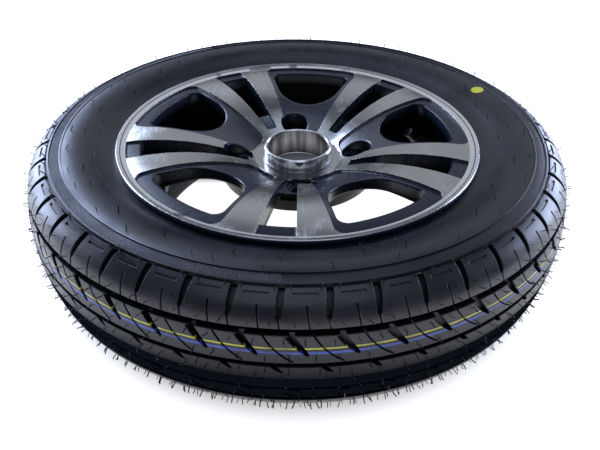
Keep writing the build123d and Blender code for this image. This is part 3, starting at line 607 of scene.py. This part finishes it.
def tyre_rubber():
    """Moulded carbon-black rubber with a soft sheen, a fine grain, and the tread's paint lines and dot."""
    material, tree, place = new_material("moulded_tyre_rubber")
    radius, height = radius_and_height(tree, place)
    cloud = add_node(tree, "ShaderNodeTexNoise", {"Vector": place, "Scale": 1 / (40 * MM), "Detail": 5.0})[0]
    colour = add_node(tree, "ShaderNodeMix", {
        0: cloud, 6: linear("#0b0d13"), 7: linear("#161820")}, data_type="RGBA")[2]
    # Cuts turn near black and lose their shine with depth: painted shade in the grooves
    depth = add_node(tree, "ShaderNodeAttribute", attribute_name="cut_depth")["Fac"]
    sunk = add_node(tree, "ShaderNodeMapRange", (depth, 1.0, 6.0, 0.0, 0.8))[0]
    outside_cut_shade = add_node(tree, "ShaderNodeMath", (1.0, sunk), operation="SUBTRACT")[0]
    colour = add_node(tree, "ShaderNodeMix", {0: sunk, 6: colour, 7: linear("#030304")}, data_type="RGBA")[2]

    # Two factory stripes, worn through in places
    ragged = add_node(tree, "ShaderNodeTexNoise", {"Vector": place, "Scale": 1 / (3 * MM), "Detail": 3.0})[0]
    worn = add_node(tree, "ShaderNodeTexNoise", {"Vector": place, "Scale": 1 / (22 * MM), "Detail": 4.0})[0]
    worn = add_node(tree, "ShaderNodeMapRange", (worn, 0.32, 0.5, 0.5, 1.0))[0]
    wet = add_node(tree, "ShaderNodeMath", (ragged, RAGGED, height), operation="MULTIPLY_ADD")[0]
    outside = add_node(tree, "ShaderNodeMath", (radius, TREAD_R), operation="GREATER_THAN")[0]
    painted = add_node(tree, "ShaderNodeMath", (outside, worn), operation="MULTIPLY")[0]
    for (s, width), code in ((YELLOW_STRIPE, "#cbc83e"), (BLUE_STRIPE, "#3d58b4")):
        middle = section_point(s)[0].y + RAGGED / 2
        off = add_node(tree, "ShaderNodeMath", (wet, middle), operation="SUBTRACT")[0]
        off = add_node(tree, "ShaderNodeMath", (off,), operation="ABSOLUTE")[0]
        inside = add_node(tree, "ShaderNodeMath", (off, width / 2), operation="LESS_THAN")[0]
        mask = add_node(tree, "ShaderNodeMath", (inside, painted), operation="MULTIPLY")[0]
        colour = add_node(tree, "ShaderNodeMix", {0: mask, 6: colour, 7: linear(code)}, data_type="RGBA")[2]
    dot_place = tuple(c * MM for c in DOT_PLACE)
    away = add_node(tree, "ShaderNodeVectorMath", (place, dot_place), operation="DISTANCE")["Value"]
    dot = add_node(tree, "ShaderNodeMath", (away, DOT_R * MM), operation="LESS_THAN")[0]
    colour = add_node(tree, "ShaderNodeMix", {0: dot, 6: colour, 7: linear("#dcdc3e")}, data_type="RGBA")[2]

    grain = add_node(tree, "ShaderNodeTexNoise", {
        "Vector": place, "Scale": 1 / (1.6 * MM), "Detail": 3.0})[0]
    swell = add_node(tree, "ShaderNodeTexNoise", {"Vector": place, "Scale": 1 / (16 * MM), "Detail": 2.0})[0]
    relief = add_node(tree, "ShaderNodeMath", (swell, 2.2, grain), operation="MULTIPLY_ADD")[0]
    soft = add_node(tree, "ShaderNodeBevel", {"Radius": 0.5 * MM}, samples=4)[0]
    bump = add_node(tree, "ShaderNodeBump", {
        "Height": relief, "Distance": 0.12 * MM, "Strength": 0.7, "Normal": soft})[0]
    rough = add_node(tree, "ShaderNodeMapRange", (cloud, 0.3, 0.7, 0.26, 0.44))[0]

    # The sidewall has a waxy sheen and the tread is duller. The tread's sheen fading to nothing towards its
    # lower half is painted shade, and so is the cuts' loss of shine
    crown = add_node(tree, "ShaderNodeMapRange", (height, -8.0, 26.0, 0.0, 0.47))[0]
    wall = add_node(tree, "ShaderNodeMapRange", (radius, 224.0, 234.0, 0.46, 0.85))[0]
    on_crown = add_node(tree, "ShaderNodeMapRange", (radius, 242.0, 245.5, 0.0, 1.0))[0]
    sheen = add_node(tree, "ShaderNodeMix", {0: on_crown, 2: wall, 3: crown}, data_type="FLOAT")[0]
    sheen = add_node(tree, "ShaderNodeMath", (sheen, outside_cut_shade), operation="MULTIPLY")[0]
    shader = add_node(tree, "ShaderNodeBsdfPrincipled", {
        "Base Color": colour, "Roughness": rough, "Specular IOR Level": sheen, "IOR": 1.55, "Normal": bump})
    add_node(tree, "ShaderNodeOutputMaterial", (shader[0],))
    return material


def arc_through(a, b, c):
    """Centre and radius of the circle through three points."""
    d = 2 * (a[0] * (b[1] - c[1]) + b[0] * (c[1] - a[1]) + c[0] * (a[1] - b[1]))
    aa, bb, cc = (p[0] ** 2 + p[1] ** 2 for p in (a, b, c))
    x = (aa * (b[1] - c[1]) + bb * (c[1] - a[1]) + cc * (a[1] - b[1])) / d
    y = (aa * (c[0] - b[0]) + bb * (a[0] - c[0]) + cc * (b[0] - a[0])) / d
    return x, y, hypot(a[0] - x, a[1] - y)


def arc_height(middle, radius):
    """Height at a radius of the face's arc through a middle point."""
    x, y, r = arc_through(HUB_FLAT, middle, FACE_EDGE)
    return y + (r * r - (radius - x) ** 2) ** 0.5 * (1 if HUB_FLAT[1] > y else -1)


def crown_rise(radius):
    """How far the fuller crown stands over the solid's face."""
    return arc_height(FACE_MID, radius) - arc_height(FACE_MID_SOLID, radius)


def crowned_wheel():
    """The solid's wheel with a fuller crown on its spokes and pockets. The hub and the lip don't change."""
    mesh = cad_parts["alloy_wheel"].data.copy()
    mesh.materials.clear()
    mesh.materials.append(wheel_finish())
    normals = [Vector(corner.vector) for corner in mesh.corner_normals]
    leans = {}
    for point in mesh.vertices:
        out = Vector((point.co.x, point.co.y, 0)) / MM
        radius = out.length
        if HUB_FLAT[0] < radius < FACE_EDGE[0]:
            over = point.co.z / MM - arc_height(FACE_MID_SOLID, radius)
            disc = min(max((radius - DISC_START[0]) / (DISC_START[1] - DISC_START[0]), 0.0), 1.0)
            low, high = (a + (b - a) * disc for a, b in zip(FACE_SKIN, DISC_SKIN))
            share = min(max((over + low) / (low - high), 0.0), 1.0)
            point.co.z += crown_rise(radius) * share * MM
            slope = (crown_rise(radius + SLOPE_STEP) - crown_rise(radius - SLOPE_STEP)) / (2 * SLOPE_STEP)
            leans[point.index] = out / radius * slope * share
    for loop in mesh.loops:
        if loop.vertex_index in leans:
            normal = normals[loop.index]
            normals[loop.index] = (normal - leans[loop.vertex_index] * normal.z).normalized()
    mesh.normals_split_custom_set(normals)
    wheel = bpy.data.objects.new("alloy_wheel_crowned", mesh)
    bpy.context.scene.collection.objects.link(wheel)
    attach(wheel, "wheel")
    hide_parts("alloy_wheel")


def wheel_finish():
    """Cast aluminium: the face turned bright in fine rings and scuffed, the rest under satin black paint."""
    material, tree, place = new_material("turned_aluminium_and_black_paint")
    radius, height = radius_and_height(tree, place)

    # Height of the turned face at this radius: hub flat, crowned spoke tops, then the lip
    x, y, r = arc_through(HUB_FLAT, FACE_MID, FACE_EDGE)
    across = add_node(tree, "ShaderNodeMath", (radius, x), operation="SUBTRACT")[0]
    square = add_node(tree, "ShaderNodeMath", (across, across), operation="MULTIPLY")[0]
    inside = add_node(tree, "ShaderNodeMath", (r * r, square), operation="SUBTRACT")[0]
    rise = add_node(tree, "ShaderNodeMath", (inside, 0.5), operation="POWER")[0]
    side = 1.0 if HUB_FLAT[1] > y else -1.0
    crown = add_node(tree, "ShaderNodeMath", (rise, side, y), operation="MULTIPLY_ADD")[0]
    slope = (LIP[1] - FACE_EDGE[1]) / (LIP[0] - FACE_EDGE[0])
    lip = add_node(tree, "ShaderNodeMath", (radius, slope, FACE_EDGE[1] - slope * FACE_EDGE[0]),
                   operation="MULTIPLY_ADD")[0]
    outer = add_node(tree, "ShaderNodeMath", (radius, FACE_EDGE[0]), operation="GREATER_THAN")[0]
    hub = add_node(tree, "ShaderNodeMath", (radius, HUB_FLAT[0]), operation="LESS_THAN")[0]
    face = add_node(tree, "ShaderNodeMix", {0: outer, 2: crown, 3: lip}, data_type="FLOAT")[0]
    face = add_node(tree, "ShaderNodeMix", {0: hub, 2: face, 3: HUB_FLAT[1]}, data_type="FLOAT")[0]
    over = add_node(tree, "ShaderNodeMath", (height, face), operation="SUBTRACT")[0]
    turned = add_node(tree, "ShaderNodeMath", (over, -TURNED_SKIN), operation="GREATER_THAN")[0]
    bore = add_node(tree, "ShaderNodeMath", (radius, BORE_R + 1.2), operation="LESS_THAN")[0]
    turned = add_node(tree, "ShaderNodeMath", (turned, bore), operation="MAXIMUM")[0]

    # Bright metal: cloudy oxide on the spokes, a cleaner lip, and pale rubbed scuffs in patches
    smudge = add_node(tree, "ShaderNodeTexNoise", {
        "Vector": place, "Scale": 1 / (26 * MM), "Detail": 6.0})[0]
    patch = add_node(tree, "ShaderNodeMapRange", (smudge, 0.5, 0.66, 0.0, 1.0))[0]
    off_hub = add_node(tree, "ShaderNodeMapRange", (radius, 46.0, 60.0, 0.0, 1.0))[0]
    patch = add_node(tree, "ShaderNodeMath", (patch, off_hub), operation="MULTIPLY")[0]
    scuffs = 0.0
    for turn in SCUFF_TURNS:
        rubbed = add_node(tree, "ShaderNodeMapping", {
            "Vector": place, "Rotation": (0, 0, radians(turn)),
            "Scale": (1 / (2.2 * MM), 1 / (14 * MM), 1 / (14 * MM))})[0]
        line = add_node(tree, "ShaderNodeTexNoise", {"Vector": rubbed, "Scale": 1.0, "Detail": 4.0})[0]
        line = add_node(tree, "ShaderNodeMapRange", (line, 0.54, 0.8, 0.0, 0.8))[0]
        scuffs = add_node(tree, "ShaderNodeMath", (line, scuffs), operation="MAXIMUM")[0]
    scuffs = add_node(tree, "ShaderNodeMath", (scuffs, patch), operation="MULTIPLY")[0]
    colour = add_node(tree, "ShaderNodeMix", {
        0: smudge, 6: linear("#92928d"), 7: linear("#c0c0ba")}, data_type="RGBA")[2]
    for mask, code in ((outer, "#dededc"), (scuffs, "#ededec")):
        colour = add_node(tree, "ShaderNodeMix", {0: mask, 6: colour, 7: linear(code)}, data_type="RGBA")[2]

    # Hub ring and bore: upright streaks that are painted reflection, and an unpolished bore with painted
    # shade that darkens it downwards
    upright = add_node(tree, "ShaderNodeVectorMath", (place, (1.0, 1.0, 0.06)), operation="MULTIPLY")[0]
    painted_reflection_streak = add_node(tree, "ShaderNodeTexNoise", {
        "Vector": upright, "Scale": 1 / (8 * MM), "Detail": 3.0})[0]
    painted_reflection_streak = add_node(tree, "ShaderNodeMapRange", (painted_reflection_streak, 0.38, 0.62, 0.0, 1.0))[0]
    ring_metal = add_node(tree, "ShaderNodeMix", {
        0: painted_reflection_streak, 6: linear("#b4b5b7"), 7: linear("#ffffff")}, data_type="RGBA")[2]
    near_ring = add_node(tree, "ShaderNodeMath", (radius, RING_R + 0.2), operation="LESS_THAN")[0]
    colour = add_node(tree, "ShaderNodeMix", {0: near_ring, 6: colour, 7: ring_metal}, data_type="RGBA")[2]
    bore_metal = add_node(tree, "ShaderNodeMix", {
        0: painted_reflection_streak, 6: linear("#454648"), 7: linear("#9a9b9e")}, data_type="RGBA")[2]
    # Painted shade: the bore darkens towards its bottom
    painted_bore_shade = add_node(tree, "ShaderNodeMapRange", (height, 8.0, 24.0, 0.0, 1.0))[0]
    bore_metal = add_node(tree, "ShaderNodeMix", {
        0: painted_bore_shade, 6: linear("#111112"), 7: bore_metal}, data_type="RGBA")[2]
    in_bore = add_node(tree, "ShaderNodeMath", (radius, BORE_R + 0.3), operation="LESS_THAN")[0]
    colour = add_node(tree, "ShaderNodeMix", {0: in_bore, 6: colour, 7: bore_metal}, data_type="RGBA")[2]
    # A dark line round the lip, painted shade of a fine groove
    off = add_node(tree, "ShaderNodeMath", (radius, LIP_GROOVE_SHADE[0], LIP_GROOVE_SHADE[1] / 2), operation="COMPARE")[0]
    colour = add_node(tree, "ShaderNodeMix", {0: off, 6: colour, 7: linear("#5c5c5b")}, data_type="RGBA")[2]
    turns = add_node(tree, "ShaderNodeMath", (radius, 2 * pi / RINGS_APART), operation="MULTIPLY")[0]
    rings = add_node(tree, "ShaderNodeMath", (turns,), operation="SINE")[0]
    soft_metal = add_node(tree, "ShaderNodeBevel", {"Radius": 0.35 * MM}, samples=4)[0]
    metal_bump = add_node(tree, "ShaderNodeBump", {
        "Height": rings, "Distance": 0.01 * MM, "Strength": 0.6, "Normal": soft_metal})[0]
    metal_rough = add_node(tree, "ShaderNodeMapRange", (smudge, 0.3, 0.7, 0.18, 0.3))[0]
    metal_rough = add_node(tree, "ShaderNodeMath", (scuffs, 0.2, metal_rough), operation="MULTIPLY_ADD")[0]
    polish = add_node(tree, "ShaderNodeMix", {0: near_ring, 2: 1.0, 3: 0.75}, data_type="FLOAT")[0]
    polish = add_node(tree, "ShaderNodeMix", {0: in_bore, 2: polish, 3: 1.2}, data_type="FLOAT")[0]
    metal_rough = add_node(tree, "ShaderNodeMath", (metal_rough, polish), operation="MULTIPLY")[0]
    tangent = add_node(tree, "ShaderNodeTangent", direction_type="RADIAL", axis="Z")[0]
    metal = add_node(tree, "ShaderNodeBsdfPrincipled", {
        "Base Color": colour, "Metallic": 1.0, "Roughness": metal_rough, "Anisotropic": 0.3,
        "Tangent": tangent, "Normal": metal_bump})[0]

    # Satin paint, with cast edges that are rounder than the solid's
    fine = add_node(tree, "ShaderNodeTexNoise", {"Vector": place, "Scale": 1 / (5 * MM), "Detail": 4.0})[0]
    soft_cast = add_node(tree, "ShaderNodeBevel", {"Radius": 2.8 * MM}, samples=8)[0]
    paint_bump = add_node(tree, "ShaderNodeBump", {
        "Height": fine, "Distance": 0.02 * MM, "Strength": 0.5, "Normal": soft_cast})[0]
    paint_rough = add_node(tree, "ShaderNodeMapRange", (fine, 0.3, 0.7, 0.22, 0.32))[0]
    # Painted shade: the paint darkens and loses its shine deeper below the face
    painted_depth_shade = add_node(tree, "ShaderNodeMapRange", (over, -14.0, -6.0, 0.0, 1.0))[0]
    paint_colour = add_node(tree, "ShaderNodeMix", {
        0: painted_depth_shade, 6: linear("#020306"), 7: linear("#161d2c")}, data_type="RGBA")[2]
    gloss = add_node(tree, "ShaderNodeMapRange", (painted_depth_shade, 0.0, 1.0, 0.03, 0.95))[0]

    # The ledges beside the rim shine less than the pockets: painted shade
    painted_ledge_shade = add_node(tree, "ShaderNodeMapRange", (radius, 128.0, 142.0, 1.0, 0.35))[0]
    gloss = add_node(tree, "ShaderNodeMath", (gloss, painted_ledge_shade), operation="MULTIPLY")[0]
    paint = add_node(tree, "ShaderNodeBsdfPrincipled", {
        "Base Color": paint_colour, "Roughness": paint_rough, "Specular IOR Level": gloss,
        "Normal": paint_bump})[0]
    both = add_node(tree, "ShaderNodeMixShader", (turned, paint, metal))[0]
    add_node(tree, "ShaderNodeOutputMaterial", (both,))
    return material


def plain_finish(name, code, roughness, metallic=0.0):
    """A small part's finish: one colour with a fine grain."""
    material, tree, place = new_material(name)
    width, height = SMALL_GRAIN
    grain = add_node(tree, "ShaderNodeTexNoise", {"Vector": place, "Scale": 1 / (width * MM)})[0]
    rough = add_node(tree, "ShaderNodeMath", (grain, 0.15, roughness - 0.07), operation="MULTIPLY_ADD")[0]
    bump = add_node(tree, "ShaderNodeBump", {"Height": grain, "Distance": height * MM})[0]
    shader = add_node(tree, "ShaderNodeBsdfPrincipled", {
        "Base Color": linear(code), "Metallic": metallic, "Roughness": rough, "Normal": bump})
    add_node(tree, "ShaderNodeOutputMaterial", (shader[0],))
    return material


def finish_nodes():
    brass = plain_finish("turned_brass", "#b8934a", 0.3, metallic=1.0)
    rubber = plain_finish("valve_rubber", "#17181a", 0.5)
    plastic = plain_finish("black_nylon", "#131416", 0.28)
    steel = plain_finish("spring_steel", "#a8a8a8", 0.3, metallic=1.0)
    finishes = {
        "valve_stem": rubber, "valve_tube": brass, "core_housing": brass, "core_pin": brass,
        "core_seal": rubber, "core_spring": steel, "valve_cap": plastic, "cap_seal": rubber,
    }
    for name, material in finishes.items():
        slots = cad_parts[name].data.materials
        slots.clear()
        slots.append(material)


def pressed_spring():
    """The valve core's spring, on a mesh of its own; the real spring shortens along the valve's axis as the
    pin is pressed.
    """
    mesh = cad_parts["core_spring"].data.copy()
    spring = bpy.data.objects.new("core_spring_coil", mesh)
    bpy.context.scene.collection.objects.link(spring)
    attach(spring, "wheel")
    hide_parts("core_spring")
    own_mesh(spring)


# Floor, light and camera

def make_floor():
    """A pale sheet that glows: painted light in a pool inside the wheel, painted shade under the tyre and
    behind the hub, and dimmer far away.
    """
    material, tree, place = new_material("glowing_paper_with_painted_shade")
    radius, _ = radius_and_height(tree, place)
    depth = add_node(tree, "ShaderNodeSeparateXYZ", (place,))[1]
    # Painted shade behind the hub, and a painted pool of light inside the wheel
    behind = add_node(tree, "ShaderNodeMapRange", (depth, 0.07, 0.09, 1.0, 0.02))[0]
    inside = add_node(tree, "ShaderNodeMath", (radius, 140.0), operation="LESS_THAN")[0]
    middle = add_node(tree, "ShaderNodeMath", (behind, inside), operation="MULTIPLY")[0]
    # Painted shadow under the tyre, glowing pale beyond it
    glow_and_painted_tyre_shadow = add_node(tree, "ShaderNodeMapRange", (radius, 205.0, 258.0, 0.02, 0.96),
                      interpolation_type="SMOOTHSTEP")[0]
    far = add_node(tree, "ShaderNodeMapRange", (radius, 1150.0, 1500.0, 1.0, 0.25))[0]
    glow_and_painted_tyre_shadow = add_node(tree, "ShaderNodeMath", (glow_and_painted_tyre_shadow, far), operation="MULTIPLY")[0]
    glow = add_node(tree, "ShaderNodeMath", (middle, glow_and_painted_tyre_shadow), operation="MAXIMUM")[0]
    shader = add_node(tree, "ShaderNodeBsdfPrincipled", {
        "Base Color": linear("#f4f4f4"), "Roughness": 0.8, "Emission Color": (1, 1, 1, 1),
        "Emission Strength": glow})
    add_node(tree, "ShaderNodeOutputMaterial", (shader[0],))
    ends = ((-1, -1), (1, -1), (1, 1), (-1, 1))
    corners = [(x * FLOOR_REACH, y * FLOOR_REACH, FLOOR_Z * MM) for x, y in ends]
    floor = mesh_object("floor", corners, [(0, 1, 2, 3)])
    floor.data.materials.append(material)


# Each soft light: direction round the wheel and rise in degrees, distance, width, height, glow, colour
LIGHTS = {
    "left_window": (127, 30, 1.7, 0.5, 1.0, 7.4, "#c6d6ff"),
    "left_high": (131, 40, 1.7, 0.45, 0.45, 11.0, "#c6d6ff"),
    "back_panel": (84, 33, 1.8, 2.4, 0.8, 0.62, "#e6ecfa"),
    "ceiling": (90, 85, 1.6, 1.2, 1.2, 1.0, "#d6e2ff"),
    "left_low": (152, 12, 1.7, 1.2, 0.7, 9.0, "#cfdcff"),
    "right_low": (27, 12, 1.7, 1.4, 0.7, 8.5, "#cfdcff"),
    "front": (268, 60, 1.8, 1.6, 1.0, 0.6, "#dbe5fb"),
}


def make_lights():
    world = bpy.data.worlds.new("studio")
    bpy.context.scene.world = world
    world.use_nodes = True
    tree = world.node_tree
    tree.nodes.clear()
    back = add_node(tree, "ShaderNodeBackground", {"Color": linear("#ccd8ee"), "Strength": 0.14})
    add_node(tree, "ShaderNodeOutputWorld", (back[0],))
    for name, (turn, rise, distance, width, height, glow, code) in LIGHTS.items():
        data = bpy.data.lights.new(name, "AREA")
        data.shape = "RECTANGLE"
        data.size, data.size_y, data.color = width, height, linear(code)[:3]
        data.energy = glow * pi * width * height
        lamp = bpy.data.objects.new(name, data)
        flat = distance * cos(radians(rise))
        above = distance * sin(radians(rise))
        lamp.location = (flat * cos(radians(turn)), flat * sin(radians(turn)), above)
        lamp.rotation_euler = (-lamp.location).to_track_quat("-Z", "Y").to_euler()
        bpy.context.scene.collection.objects.link(lamp)


def make_camera():
    """The photograph's camera: its place, then a small turn, tilt and roll off the lip's centre."""
    distance, elevation, yaw, pitch, roll = 576.9, 0.4866, 0.0044, -0.1555, -0.0062
    target = Vector((0, 0, LIP[1]))
    forward = Vector((0, cos(elevation), -sin(elevation)))
    right = Vector((1, 0, 0))
    up = right.cross(forward)
    place = (target - forward * distance) * MM
    right, forward = right * cos(yaw) - forward * sin(yaw), right * sin(yaw) + forward * cos(yaw)
    up, forward = up * cos(pitch) - forward * sin(pitch), up * sin(pitch) + forward * cos(pitch)
    right, up = right * cos(roll) - up * sin(roll), right * sin(roll) + up * cos(roll)
    data = bpy.data.cameras.new("camera")
    data.sensor_width = 36.0
    data.lens = 36.0
    data.clip_start = 0.01
    camera = bpy.data.objects.new("camera", data)
    turn = Matrix((right, up, -forward)).transposed()
    camera.matrix_world = Matrix.Translation(place) @ turn.to_4x4()
    bpy.context.scene.collection.objects.link(camera)
    bpy.context.scene.camera = camera


rubber = tyre_rubber()
make_tyre(rubber)
make_spews(plain_finish("vent_spew_rubber", "#060607", 0.55))
crowned_wheel()
finish_nodes()
pressed_spring()
make_floor()
make_lights()
make_camera()
bpy.context.scene.view_settings.view_transform = "Standard"

bpy.context.view_layer.update()
